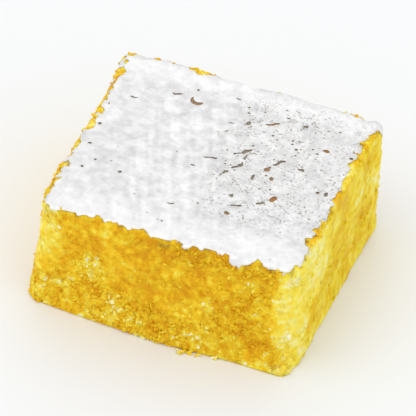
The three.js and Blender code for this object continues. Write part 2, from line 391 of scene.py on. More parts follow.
def rounded_box(u):
    """Nominal points and the way they face, on a box with round upright corners, a round rim and a small round foot."""
    half = SIZE / 2
    x, y = (u[:, 0] * 2 - 1) * half[0], (u[:, 1] * 2 - 1) * half[1]
    z = u[:, 2] * SIZE[2]
    qx = np.clip(x, -(half[0] - CORNER), half[0] - CORNER)
    qy = np.clip(y, -(half[1] - CORNER), half[1] - CORNER)
    ox, oy = x - qx, y - qy
    reach = np.hypot(ox, oy)
    square = np.maximum(np.abs(ox), np.abs(oy))
    k = np.where(reach > 1e-12, square / np.maximum(reach, 1e-12), 1)
    ox, oy = ox * k, oy * k
    reach = np.hypot(ox, oy)
    dx, dy = ox / np.maximum(reach, 1e-12), oy / np.maximum(reach, 1e-12)
    inward = np.where(reach > 1e-12, CORNER - reach, CORNER)
    face = np.zeros((len(u), 3))
    p = np.stack([qx + ox, qy + oy, z], -1)
    for radius, at, sign in ((RIM, SIZE[2], 1), (FOOT, 0.0, -1)):
        deep = (at - z) * sign
        near = (inward < radius) & (deep < radius)
        level_ = deep < 1e-9
        angle = np.where(
            level_, (1 - inward / radius) * math.pi / 4, math.pi / 2 - (1 - deep / radius) * math.pi / 4
        )
        s, c = np.sin(angle), np.cos(angle)
        px = qx + dx * (CORNER - radius + radius * s)
        py = qy + dy * (CORNER - radius + radius * s)
        pz = at - sign * radius * (1 - c)
        p[near] = np.stack([px, py, pz], -1)[near]
        face[near] = np.stack([dx * s, dy * s, sign * c], -1)[near]
    plain = np.linalg.norm(face, axis=1) < 1e-9
    top = plain & (np.abs(z - SIZE[2]) < 1e-9)
    foot = plain & (np.abs(z) < 1e-9)
    wall = plain & ~top & ~foot
    face[top] = (0, 0, 1)
    face[foot] = (0, 0, -1)
    face[wall] = np.stack([dx, dy, 0 * dx], -1)[wall]
    p[:, :2] += MIDDLE[:2]
    return p + skew_at(p), face


def cad_offsets(p, face):
    """How far the CAD block's surface stands out of the nominal points."""
    offset = np.zeros(len(p))
    for i in np.flatnonzero(face[:, 2] > -0.999):
        far = cast(p[i] + face[i] * 3 * MM, -face[i], 6 * MM)
        offset[i] = 0 if math.isnan(far) else 3 * MM - far
    return offset


SPACING = 0.245 * MM
u, quads, index, shape = box_lattice(SPACING)
nominal, face = rounded_box(u)
under = face[:, 2] < -0.999
offset = cad_offsets(nominal, face)
edges = edges_of(quads)
offset = smoothed(offset, edges, 13)
offset[under] = 0
base = nominal + face * offset[:, None]
base[:, 2] = np.maximum(base[:, 2], 0)
base[under, 2] = 0
offset_grid = np.full([n + 1 for n in shape], np.nan)
offset_grid[index[:, 0], index[:, 1], index[:, 2]] = offset


def offsets_at(v):
    """The smoothed offsets at other lattice points on the box's top or sides, by linear steps within a face."""
    q = v * np.array(shape)
    i0 = np.floor(q + 1e-9).astype(int)
    i0 = np.minimum(i0, np.array(shape))
    i1 = np.minimum(i0 + 1, np.array(shape))
    f = np.clip(q - i0, 0, 1)
    f[f < 1e-6] = 0
    total, weight = np.zeros(len(v)), np.zeros(len(v))
    for a in (0, 1):
        for b in (0, 1):
            for c in (0, 1):
                w = (
                    (f[:, 0] if a else 1 - f[:, 0])
                    * (f[:, 1] if b else 1 - f[:, 1])
                    * (f[:, 2] if c else 1 - f[:, 2])
                )
                value = offset_grid[
                    (i1 if a else i0)[:, 0], (i1 if b else i0)[:, 1], (i1 if c else i0)[:, 2]
                ]
                good = ~np.isnan(value) & (w > 0)
                total[good] += (w * np.nan_to_num(value))[good]
                weight[good] += w[good]
    return total / np.maximum(weight, 1e-9)


# ------------------------------------------------------------------ packed coconut: relief of the pressed mass
def grain_relief(p, n, cell, axes, seed, low, high, sharp=0.05 * MM):
    """How far grains packed in the mass stand out of the surface at p along n, blended softly where they meet,
    and a number for the grain that is foremost. One irregular ellipsoid lies in each cell of a jittered lattice,
    which is turned so that no cut face runs along its cells."""
    turned = rotations(*(np.array([hashed(np.array([m]), seed=seed)[0]]) for m in (1, 2, 3)))[0]
    p, n = p @ turned.T, n @ turned.T
    base_cell = np.floor(p / cell).astype(np.int64)
    total = np.zeros(len(p))
    best = np.full(len(p), -9.0)
    tone = np.full(len(p), 0.5)
    for di in (-1, 0, 1):
        for dj in (-1, 0, 1):
            for dk in (-1, 0, 1):
                i, j, k = base_cell[:, 0] + di, base_cell[:, 1] + dj, base_cell[:, 2] + dk
                r = [hashed(i, j, k, seed=seed + m) for m in range(11)]
                c = np.stack([(q + 0.5 + 0.95 * (r[m] - 0.5)) * cell for m, q in enumerate((i, j, k))], -1)
                size = np.stack([(lo + (hi - lo) * r[3 + m] ** 1.4) * MM for m, (lo, hi) in enumerate(axes)], -1)
                turn = rotations(r[6], r[7], r[8])
                q = np.einsum("nij,ni->nj", turn, p - c) / size
                w = np.einsum("nij,ni->nj", turn, n) / size
                A, B, C = (w * w).sum(1), (q * w).sum(1), (q * q).sum(1) - 1
                disc = B * B - A * C
                hit = disc > 0
                t = np.where(hit, (-B + np.sqrt(np.maximum(disc, 0))) / A, low)
                t = np.clip(t, low, low + (high - low) * (0.55 + 0.45 * r[9]))
                total += np.exp((t - high) / sharp) * hit
                nearer = hit & (t > best)
                tone = np.where(nearer, r[10], tone)
                best = np.where(nearer, t, best)
    total += math.exp((low - high) / sharp)
    return high + sharp * np.log(total), tone


def rotations(a, b, c):
    """Rotation matrices (n, 3, 3) evenly spread, from three numbers in 0..1 each."""
    s, t = np.sqrt(1 - a), np.sqrt(a)
    x, y = s * np.sin(2 * np.pi * b), s * np.cos(2 * np.pi * b)
    z, w = t * np.sin(2 * np.pi * c), t * np.cos(2 * np.pi * c)
    return np.stack(
        [
            np.stack([1 - 2 * (y * y + z * z), 2 * (x * y - z * w), 2 * (x * z + y * w)], -1),
            np.stack([2 * (x * y + z * w), 1 - 2 * (x * x + z * z), 2 * (y * z - x * w)], -1),
            np.stack([2 * (x * z - y * w), 2 * (y * z + x * w), 1 - 2 * (x * x + y * y)], -1),
        ],
        -2,
    )


def smear_at(p):
    """1 where the knife has pressed the cut face smooth, 0 where it has torn out grains: the front face is
    smoother between its crumbly rim and its grainy lowest third."""
    q = p * np.array([1.0, 1.0, 0.7])
    front = smoothstep(-0.40 * SIZE[1], -0.46 * SIZE[1], p[:, 1])
    middle = smoothstep(5 * MM, 8.5 * MM, p[:, 2]) * smoothstep(HEIGHT - 1.8 * MM, HEIGHT - 3.8 * MM, p[:, 2])
    lean = front * (0.30 * middle - 0.22 * smoothstep(6 * MM, 3.5 * MM, p[:, 2]))
    return smoothstep(-0.22, 0.42, fractal(q, 6.5 * MM, 3, seed=31) + lean)


def pale_at(p, n):
    """Above 0 where the mass is pale lemon: the pressed upright corners and, more faintly, the right face.
    Below 0 where it is deeper golden and, in the material, darkened as painted shade: the front face's right half, a
    patch in its upper middle and the band under its rim."""
    z = p[:, 2]
    right = smoothstep(0.55, 0.95, n[:, 0])
    front = smoothstep(0.55, 0.95, -n[:, 1])
    wobble = 0.5 * MM * fractal(p, 4 * MM, 2, seed=44)
    bands = np.zeros(len(p))
    high = smoothstep(5 * MM, 10 * MM, z + wobble)
    # each corner's band: how far it is full, where it ends (mm), how pale it is; the right face's are wider
    for i, j, full, end, much in (
        (1, 0, 1.4 + right * (2.2 + 7.0 * high), 3.2 + right * (9.5 + 4.2 * high), 1.0 - 0.16 * right * (1 - high)),
        (0, 0, 1.76, 4.4, 0.88 * smoothstep(4.5 * MM, 9.5 * MM, z + wobble)),
        (1, 1, 1.4, 3.4 + 5.2 * right, 0.5 + 0.22 * right),
        (0, 1, 1.4, 3.4, 0.5),
    ):
        far = (corner_distance(p, i, j) + wobble * (1 + 2.5 * right)) / MM
        bands = np.maximum(bands, much * smoothstep(end, full, far))
    patch = 0.05 * front + 0.24 * smoothstep(0.15, 0.6, fractal(p, 5.5 * MM, 2, seed=52))
    patch = patch + 0.13 * front * smoothstep(9 * MM, 6 * MM, z) * smoothstep(-3 * MM, -8 * MM, p[:, 0])
    x = p[:, 0] / MM
    under_rim = 0.24 + 0.20 * smoothstep(-16, -12, x) * smoothstep(-2, -5, x) - 0.14 * smoothstep(6, 10, x)
    gold_and_shade = front * smoothstep(HEIGHT - 5.5 * MM, HEIGHT - 2.0 * MM, z + wobble) * under_rim
    gold_and_shade = gold_and_shade + front * smoothstep(-11 * MM, 1 * MM, p[:, 0]) * 0.34
    # painted shade: a patch of the front's upper middle is made deeper golden, as if less light fell there
    hollow_shade = smoothstep(-9.5 * MM, -5.5 * MM, p[:, 0] + 2 * wobble) * smoothstep(4.5 * MM, MM, p[:, 0] + 2 * wobble)
    gold_and_shade = gold_and_shade + front * hollow_shade * smoothstep(7 * MM, 10.5 * MM, z + wobble) * 0.33
    pale_ = np.maximum(bands, 0.27 * right) + (patch - gold_and_shade) * (1 - bands)
    return np.clip(pale_, -1, 1)


def calm_at(n):
    """1 on the right face, where the knife drew the mass smooth: its tones run together and few grains stand out."""
    return smoothstep(0.6, 0.95, n[:, 0])


def corner_smooth(p):
    """1 on the front-right upright corner, which is pressed smooth."""
    return smoothstep(3.6 * MM, 1.6 * MM, corner_distance(p, 1, 0))


def displacement(p, n, height):
    """How far the surface of the mass stands out of its large form, its tones, and how deep it lies in pits, which the
    material paints as shade.
    """
    side = 1 - smoothstep(0.55, 0.95, n[:, 2])
    smear = smear_at(p) * side
    coarse, tone = grain_relief(
        p, n, 1.25 * MM, ((0.55, 1.05), (0.44, 0.78), (0.34, 0.56)), 5, -0.46 * MM, 0.22 * MM, 0.08 * MM
    )
    fine, tone2 = grain_relief(
        p, n, 0.62 * MM, ((0.26, 0.48), (0.22, 0.36), (0.18, 0.28)), 171, -0.22 * MM, 0.10 * MM, 0.04 * MM
    )
    wave = fractal(p, 3.4 * MM, 3, seed=9)
    right = smoothstep(0.6, 0.95, n[:, 0])
    pressed = corner_smooth(p)
    amount = (1 - 0.62 * smear) * (0.16 + 0.84 * side) * (1 - 0.36 * right) * (1 - 0.55 * pressed)
    amount = amount * (1 - 0.20 * smoothstep(2 * MM, 12 * MM, p[:, 0]))
    ground = smoothstep(0, 0.6 * MM, height)
    d = (coarse * 0.52 + fine * 0.47 * (1 - 0.25 * right)) * amount * ground + 0.16 * MM * wave * side * ground
    # how deep the surface lies in pits, which the material turns into painted pit shade
    deep = np.clip(-(coarse * 0.7 + fine) * amount / (0.30 * MM), 0, 1) * (1 - 0.7 * right)
    deep = deep * (1 - 0.35 * smoothstep(0, 12 * MM, p[:, 0]))
    return d, np.clip(0.65 * tone + 0.35 * tone2, 0, 1), deep, smear


# ------------------------------------------------------------------ the leaf's outline, cracks and rents
LEAF_SPACING = 0.182 * MM
LEAF_BAND = 2.6 * MM
LEAF_GAP, LEAF_THICK = 0.045 * MM, 0.02 * MM
# How far the leaf's front edge reaches past the start of the rim, at places along it (mm): below zero it stops short.
FRONT_REACH = (
    (-19, 0.1), (-15, 1.0), (-11, 0.2), (-8.8, 0.9), (-6.8, 1.0), (-4.7, 0.6), (-2.4, 1.9), (0, 1.9),
    (3.6, 1.6), (6.4, 1.6), (8.2, 1.2), (10.2, 2.3), (11.4, 2.2), (12.9, 0.6), (14.4, 2.0), (16.4, 2.2), (19, 0.8),
)
# The same for the right edge, front to back.
RIGHT_REACH = (
    (-19, 0.5), (-16.6, 0.3), (-14.3, 0.1), (-12, -0.25), (-9.7, 0.15), (-7.2, 0.3), (-4, 0.6), (-1, 0.6), (2, 0.6),
    (5.8, -0.3), (8, -0.15), (10.8, 0.35), (13, 0.3), (15.2, 0.0), (16.4, 1.2), (17.6, 2.4), (19, 2.6),
)
# The back edge, left to right, and the left edge, front to back: bare where the rim's coconut shows.
BACK_REACH = (
    (-19, 1.2), (-16.4, 1.7), (-15.6, 1.2), (-14.9, -0.1), (-14.2, 1.4), (-13.3, 1.5), (-12.5, -0.2), (-11.7, 1.6),
    (-10.3, 1.5), (-9.6, -0.2), (-8.6, -0.9), (-7.0, -1.0), (-6.0, -0.4), (-5.3, 1.6), (0, 1.9), (5.0, 1.8), (5.9, 0.1), (6.8, 1.7), (9.7, 1.5), (10.4, 0.0), (11.2, 1.5), (13.0, 1.4),
    (13.7, -0.1), (14.5, 1.3), (15.8, -0.1), (16.6, 1.3), (17.4, 0.1), (18.2, 1.6), (19, 2.2),
)
LEFT_REACH = (
    (-19, 0.9), (-15.5, 1.1), (-13.0, 0.2), (-11.6, 0.8), (-10.4, -0.3), (-8.6, 0.9), (-5.0, 0.9), (-3.2, 0.1),
    (-1.4, 0.8), (0.7, -0.2), (2.6, 0.6), (4.0, -0.4), (6.2, -0.5), (8.0, 0.8), (12.6, 1.0), (14.4, -0.5), (15.8, 1.0),
    (19, 1.1),
)
# Cracks: start and end (mm from the middle of the top), widest gap, share that stays joined.
CRACKS = (
    (-1.5, 0.0, 1.5, 0.8, 0.32, 0.30),
    (2.1, 2.1, 5.1, 4.7, 0.30, 0.35),
    (1.8, -3.6, 4.3, 0.5, 0.36, 0.22),
    (4.1, 0.3, 4.3, 3.1, 0.30, 0.30),
    (7.6, 0.6, 10.0, 4.7, 0.36, 0.28),
    (4.4, 11.1, 6.4, 12.0, 0.46, 0.05),
    (-2.2, 6.2, 0.4, 7.9, 0.18, 0.45),
    (6.5, -2.2, 6.8, -0.9, 0.36, 0.10),
    (6.6, 14.0, 9.2, 13.2, 0.16, 0.45),
    (5.4, -9.6, 7.2, -8.8, 0.24, 0.30),
    (9.3, -7.8, 9.9, -6.7, 0.34, 0.10),
    (17.3, -1.2, 18.0, 0.1, 0.26, 0.20),
    (-10.4, 12.8, -8.9, 12.5, 0.34, 0.05),
    (-15.6, 9.6, -14.6, 9.4, 0.26, 0.10),
)
# Short cracks crowd in the right half, most of them running away to the back right.
short = np.random.default_rng(77)
for _ in range(46):
    at = (short.uniform(-3.5, 16.5), short.uniform(-13, 16))
    turn = math.radians(short.normal(38, 34))
    reach = short.uniform(0.3, 0.8)
    if short.random() < 0.3 + 0.7 * (2 < at[0] < 13 and -9 < at[1] < 10):
        CRACKS += (
            (
                at[0] - reach * math.cos(turn), at[1] - reach * math.sin(turn),
                at[0] + reach * math.cos(turn), at[1] + reach * math.sin(turn),
                short.uniform(0.10, 0.22), 0.35,
            ),
        )  # fmt: skip
# Small round rents: place and radius (mm).
RENTS = (
    (10.9, -5.5, 0.44), (14.4, 8.7, 0.40), (5.9, -11.3, 0.36), (7.9, 0.8, 0.40), (9.2, -1.0, 0.28),
    (9.9, 13.1, 0.30), (10.3, 7.2, 0.28), (12.6, 2.9, 0.26), (2.0, 10.5, 0.30), (13.3, 13.4, 0.26),
    (14.9, 13.9, 0.26), (16.2, -1.2, 0.28), (5.2, -7.1, 0.24), (18.2, 8.6, 0.34), (10.2, -7.2, 0.20),
    (4.1, 0.2, 0.30), (3.6, 3.3, 0.22), (1.3, 12.6, 0.20), (-11.2, -8.2, 0.34), (-13.2, -6.3, 0.16),
    (-7.1, 14.6, 0.22), (-17.3, -3.6, 0.30), (-15.4, -6.9, 0.22), (-17.6, 1.4, 0.22), (-16.6, -9.2, 0.18),
)
# Where what shows through is stained rust brown: place, radius (mm) and how strongly.
STAINS = (
    (10.9, -5.5, 1.0, 1.0), (14.4, 8.7, 1.0, 1.0), (7.9, 0.8, 1.1, 0.6), (9.2, -1.0, 0.8, 0.5), (5.9, -11.3, 0.9, 0.6),
    (5.4, 11.5, 1.5, 0.8), (14.9, 13.9, 0.8, 0.6), (16.2, -1.2, 0.8, 0.6), (-6.5, 11.5, 1.8, 0.42),
)
# The curved tear near the back left: middle, radius, arc from and to (degrees), width.
TEAR = (-6.4, 12.5, 0.90, 165, 335, 0.74)


def leaf_mask(p, v):
    """How far inside the leaf's cover a point is (m), by the leaf's torn outline, cracks and rents.
    v is the point's share of the box, so that the way down the side counts past the rim."""
    half = SIZE / 2
    x, y = (v[:, 0] * 2 - 1) * half[0], (v[:, 1] * 2 - 1) * half[1]
    down = (1 - v[:, 2]) * SIZE[2]  # way down the side, below the corner of the box
    mmx, mmy = x / MM, y / MM
    hx_mm = half[0] / MM
    start = 1.0  # mm in from the box's side, where the rim begins to turn
    reach_front = np.interp(mmx, *np.array(FRONT_REACH).T)
    reach_right = np.interp(mmy, *np.array(RIGHT_REACH).T)
    reach_back = np.interp(mmx, *np.array(BACK_REACH).T)
    reach_left = np.interp(mmy, *np.array(LEFT_REACH).T)
    # torn in small steps: the noise is drawn towards its own highs and lows
    steps = value_noise(p, 0.95 * MM, seed=69)
    steps = 2 * smoothstep(-0.32, 0.32, steps) - 1
    steps = steps * (1 + 0.8 * smoothstep(-hx_mm + 3.5, -hx_mm + 1.5, mmx))  # the left edge is torn more
    rag = 0.34 * fractal(p, 1.9 * MM, 2, seed=67) + 0.38 * steps + 0.26 * value_noise(p, 0.46 * MM, seed=71)
    d = down / MM
    hx, hy = half[0] / MM, half[1] / MM
    front = (mmy + hy) - start + reach_front - d
    right = (hx - mmx) - start + reach_right - d
    left = (mmx + hx) - start + reach_left - d
    rear = (hy - mmy) - start + reach_back - d
    # a point on one side takes that side's edge, one on the top the nearest; corners are cut round
    sides = np.stack([front, right, left, rear], -1)
    two = np.sort(sides, axis=1)[:, :2]
    k = 1.6
    a, b = two[:, 0], two[:, 1]
    h = np.clip(k - np.abs(b - a), 0, None)
    edge = a - h * h / (4 * k)
    edge = edge + rag
    wob = 0.22 * fractal(p, 0.9 * MM, 2, seed=81)
    holes = np.full(len(p), 9.0)
    wander = value_noise(p, 1.3 * MM, seed=90)
    jag = value_noise(p, 0.5 * MM, seed=91)
    dash = value_noise(p, 0.62 * MM, seed=120) * 0.5 + 0.5
    for n, (x0, y0, x1, y1, wide, joined) in enumerate(CRACKS):
        ax, ay = x1 - x0, y1 - y0
        length = math.hypot(ax, ay)
        t = ((mmx - x0) * ax + (mmy - y0) * ay) / length**2
        off = ((mmx - x0) * -ay + (mmy - y0) * ax) / length + 0.30 * wander + 0.16 * jag
        tt = np.clip(t, 0, 1)
        along = np.abs(t - tt) * length
        w = 0.96 * wide * np.sin(np.pi * np.clip(tt, 0.03, 0.97)) ** 0.5 * smoothstep(joined + 0.03, joined + 0.24, dash)
        holes = np.minimum(holes, np.hypot(off, along) - w / 2 - 0.04 * (w > 0.05) + 0.35 * (w <= 0.05))
    for n, (x0, y0, r) in enumerate(RENTS):
        ex = (mmx - x0) + 0.5 * (mmy - y0) * (((n * 7) % 5) / 5 - 0.4)
        ey = (mmy - y0) * (1.0 + 0.35 * ((n * 3) % 4 - 1.5) / 1.5)
        holes = np.minimum(holes, np.hypot(ex, ey) - 1.06 * r + wob)
    cx, cy, r, a0, a1, wide = TEAR
    ang = np.degrees(np.arctan2(mmy - cy, mmx - cx)) % 360
    mid, span = (a0 + a1) / 2, (a1 - a0) / 2
    off_arc = np.clip(np.abs(ang - mid) - span, 0, None) / 57.3 * r
    radial = np.abs(np.hypot(mmx - cx, mmy - cy) - r)
    body_w = wide / 2 * np.clip(1 - (np.abs(ang - mid) / span) ** 2, 0.1, 1) ** 0.5
    holes = np.minimum(holes, np.hypot(radial, off_arc) - body_w + 0.5 * wob)
    # pinholes, crowded in the right half
    crowd = smoothstep(0.0, 6.0, mmx + 2.0) * smoothstep(18, 13, np.abs(mmy - 4) + 4)
    cell = 0.8
    gi, gj = np.floor(mmx / cell).astype(np.int64), np.floor(mmy / cell).astype(np.int64)
    for di in (-1, 0, 1):
        for dj in (-1, 0, 1):
            a_, b_ = gi + di, gj + dj
            r0, r1, r2, r3 = (hashed(a_, b_, seed=140 + m) for m in range(4))
            px, py = (a_ + 0.2 + 0.6 * r0) * cell, (b_ + 0.2 + 0.6 * r1) * cell
            here = r2 < 0.03 + 0.42 * crowd
            size = 0.04 + 0.12 * r3**2
            holes = np.minimum(holes, np.where(here, np.hypot(mmx - px, mmy - py) - size + 0.5 * wob, 9.0))
    return np.minimum(edge, holes) * MM, edge * MM


# ------------------------------------------------------------------ the pressed mass
normal = vertex_normals(base, quads)
shift, tone, deep, smear = displacement(base, normal, base[:, 2])
shift[under | (normal[:, 2] < -0.7)] = 0
body = base + normal * shift[:, None]
body[:, 2] = np.maximum(body[:, 2], 0)
body[under, 2] = 0
pale = pale_at(base, normal)


def flat_underside(p, all_quads, is_under):
    """The lattice's flat underside as one fan, so that it costs few triangles: quads, triangles, points."""
    flat = is_under[all_quads].all(1)
    q = all_quads[flat]
    e = np.concatenate([q[:, [0, 1]], q[:, [1, 2]], q[:, [2, 3]], q[:, [3, 0]]])
    pairs = {(int(a), int(b)) for a, b in e}
    follow = {a: b for a, b in pairs if (b, a) not in pairs}
    ring = [min(follow)]
    while follow[ring[-1]] != ring[0]:
        ring.append(follow[ring[-1]])
    ring = np.array(ring)
    hub = len(p)
    p = np.vstack([p, [[p[ring, 0].mean(), p[ring, 1].mean(), 0]]])
    return all_quads[~flat], np.stack([ring, np.roll(ring, -1), np.full(len(ring), hub)], -1), p


b_quads, b_tris, b_points = flat_underside(body, quads, under)


def brown_and_shade_at(p, covered):
    """How brown and shaded the coconut is painted: under the leaf, partly the brown its cracks show and partly painted
    shade in them, and in flecks of painted shadow of the leaf's edge just outside it.
    """
    edge_shadow = smoothstep(0.05, 0.55, value_noise(p, 0.9 * MM, seed=231)) * smoothstep(-1.1 * MM, -0.2 * MM, covered)
    return np.maximum(0.9 * smoothstep(0.1 * MM, 0.9 * MM, covered), 0.42 * edge_shadow)


def rust_at(v):
    """1 where what shows in the leaf's rents is stained rust brown, at shares v of the box."""
    x, y = ((v * 2 - 1) * SIZE / 2 / MM)[:, :2].T
    out = np.zeros(len(v))
    for x0, y0, r, much in STAINS:
        out = np.maximum(out, much * smoothstep(1.3 * r, 0.6 * r, np.hypot(x - x0, y - y0)))
    return out


_, covered = leaf_mask(base, u)
# brown and painted shade under the leaf, painted shadow just outside its edge
brown_and_shade = brown_and_shade_at(base, covered)
used = np.unique(np.concatenate([b_quads.ravel(), b_tris.ravel()]))
renumber = np.full(len(b_points), -1)
renumber[used] = np.arange(len(used))


def kept(a, last):
    return np.append(a, last)[used]


# ------------------------------------------------------------------ materials
class Nodes:
    """Short ways to make the nodes of one material."""

    def __init__(self, name):
        self.material = bpy.data.materials.new(name)
        self.material.use_nodes = True
        self.tree = self.material.node_tree
        self.shader = self.tree.nodes["Principled BSDF"]
        self.coords = self.tree.nodes.new("ShaderNodeTexCoord").outputs["Object"]

    def new(self, kind, **settings):
        n = self.tree.nodes.new("ShaderNode" + kind)
        for k, v in settings.items():
            setattr(n, k, v)
        return n

    def link(self, a, b):
        self.tree.links.new(a, b)

    def put(self, socket, value):
        if isinstance(value, bpy.types.NodeSocket):
            self.link(value, socket)
        else:
            socket.default_value = value

    def attribute(self, name):
        return self.new("Attribute", attribute_name=name).outputs["Fac"]

    def noise(self, scale, detail=2.0, rough=0.5, stretch=None):
        n = self.new("TexNoise")
        n.inputs["Scale"].default_value = scale
        n.inputs["Detail"].default_value = detail
        n.inputs["Roughness"].default_value = rough
        v = self.coords
        if stretch:
            m = self.new("Mapping")
            m.inputs["Scale"].default_value = stretch
            self.link(v, m.inputs["Vector"])
            v = m.outputs["Vector"]
        self.link(v, n.inputs["Vector"])
        return n.outputs["Fac"]

    def math(self, op, a, b=0.0, c=0.0, clamp=False):
        n = self.new("Math", operation=op, use_clamp=clamp)
        for socket, v in zip(n.inputs, (a, b, c)):
            self.put(socket, v)
        return n.outputs[0]

    def mix(self, factor, a, b, blend="MIX"):
        n = self.new("Mix", data_type="RGBA", blend_type=blend)
        self.put(n.inputs[0], factor)
        self.put(n.inputs[6], a)
        self.put(n.inputs[7], b)
        return n.outputs[2]

    def remap(self, value, lo, hi, to_lo, to_hi):
        n = self.new("MapRange")
        self.put(n.inputs["Value"], value)
        for k, v in (("From Min", lo), ("From Max", hi), ("To Min", to_lo), ("To Max", to_hi)):
            n.inputs[k].default_value = v
        return n.outputs["Result"]


SHADED_BROWN = (0.13, 0.055, 0.022, 1)
DULL_SHADE = (0.215, 0.20, 0.195, 1)
RUST = (0.34, 0.135, 0.06, 1)
PAINTED_PIT_SHADE = (0.90, 0.435, 0.002, 1)
AMBER = (0.75, 0.345, 0.005, 1)
GOLD = (0.855, 0.492, 0.009, 1)
YELLOW = (0.925, 0.62, 0.021, 1)
LEMON = (0.98, 0.77, 0.075, 1)
CREAM = (1.0, 0.875, 0.31, 1)
WHITE = (1.0, 0.95, 0.70, 1)


def coconut_material(name, spread, lift, depth):
    """Moist pressed coconut: each grain has its own tone between amber and cream. spread is how much the grains'
    tones differ, lift how pale they are on the whole, depth how much light goes in and how far, by colour (mm)."""
    t = Nodes(name)
    pale = t.attribute("pale")
    even = t.math("MULTIPLY_ADD", t.math("MAXIMUM", pale, 0.0), -0.52, 1.0)  # the pressed corners are more even
    fine = t.math("MULTIPLY_ADD", t.attribute("calm"), -0.52, 1.0)  # and the right face has less small grain
    grit = t.remap(t.noise(2300, 3, 0.55), 0.30, 0.70, -0.09, 0.09)
    small = t.remap(t.noise(1250, 1.5), 0.32, 0.68, -0.13, 0.13)
    blobs = t.remap(t.noise(640, 1.5), 0.32, 0.68, -0.22, 0.21)
    broad = t.remap(t.noise(280, 1), 0.34, 0.66, -0.15, 0.11)
    # the knife drew the right face's tones out from front to back
    drawn = t.remap(t.noise(430, 1.5, 0.5, (1, 0.35, 0.9)), 0.34, 0.66, -0.22, 0.17)
    drawn = t.math("ADD", drawn, t.remap(t.noise(1150, 1.5, 0.5, (1, 0.55, 1)), 0.32, 0.68, -0.15, 0.14))
    drawn = t.math("MULTIPLY", drawn, t.attribute("calm"))
    v = t.math("MULTIPLY_ADD", t.attribute("tone"), spread, -spread / 2)
    v = t.math("MULTIPLY", t.math("ADD", t.math("ADD", v, grit), t.math("ADD", small, blobs)), fine)
    v = t.math("ADD", v, t.math("ADD", drawn, broad))
    v = t.math("MULTIPLY_ADD", v, even, 0.5 + lift)
    v = t.math("MULTIPLY_ADD", pale, 0.285, v, clamp=True)
    ramp = t.new("ValToRGB")
    e = ramp.color_ramp.elements
    e[0].position, e[0].color = 0.05, AMBER
    e[1].position, e[1].color = 1.0, WHITE
    for at, colour in ((0.34, GOLD), (0.58, YELLOW), (0.78, LEMON), (0.93, CREAM)):
        e.new(at).color = colour
    t.link(v, ramp.inputs["Fac"])
    b = t.shader
    # painted pit shade: where the surface lies deep in pits it turns a deeper, more saturated orange
    colour = t.mix(t.math("MULTIPLY", t.attribute("deep"), 0.62), ramp.outputs["Color"], PAINTED_PIT_SHADE)
    # painted shade: the right face's colour is darkened a little, less so in its pale band
    right_face_shade = t.math("MULTIPLY_ADD", t.math("MAXIMUM", pale, 0.0), -0.62, 1.0)
    right_face_shade = t.math("MULTIPLY", t.attribute("calm"), right_face_shade)
    colour = t.mix(right_face_shade, colour, (0.875, 0.925, 0.84, 1), "MULTIPLY")
    # painted shade: where pale is below 0 the colour is darkened a little
    shade = t.math("MULTIPLY", t.math("MAXIMUM", t.math("MULTIPLY", pale, -1.0), 0.0), 1.1, clamp=True)
    colour = t.mix(shade, colour, (0.95, 0.975, 0.98, 1), "MULTIPLY")
    # what the leaf has kept covered is dull and brown, as its cracks show: partly the coconut's own colour, partly
    # painted shade in the narrow cracks and holes, with flecks of painted shadow just outside the leaf's edge
    brown_and_shade = t.attribute("brown_and_shade")
    stain_and_shade = t.mix(t.attribute("rust"), DULL_SHADE, RUST)
    stain_and_shade = t.mix(t.remap(brown_and_shade, 0.45, 0.8, 0, 1), SHADED_BROWN, stain_and_shade)
    t.link(t.mix(brown_and_shade, colour, stain_and_shade), b.inputs["Base Color"])
    t.link(t.remap(t.noise(1100, 2), 0.3, 0.7, 0.30, 0.62), b.inputs["Roughness"])
    b.inputs["Subsurface Weight"].default_value = depth[0]
    b.inputs["Subsurface Radius"].default_value = depth[1:]
    b.inputs["Subsurface Scale"].default_value = 1 * MM
    t.link(t.remap(t.attribute("calm"), 0, 1, 0.12, 0.06), b.inputs["Specular IOR Level"])
    bump = t.new("Bump")
    bump.inputs["Strength"].default_value = 0.3
    bump.inputs["Distance"].default_value = 0.07 * MM
    t.link(t.noise(4600, 3, 0.6), bump.inputs["Height"])
    t.link(bump.outputs["Normal"], b.inputs["Normal"])
    return t.material


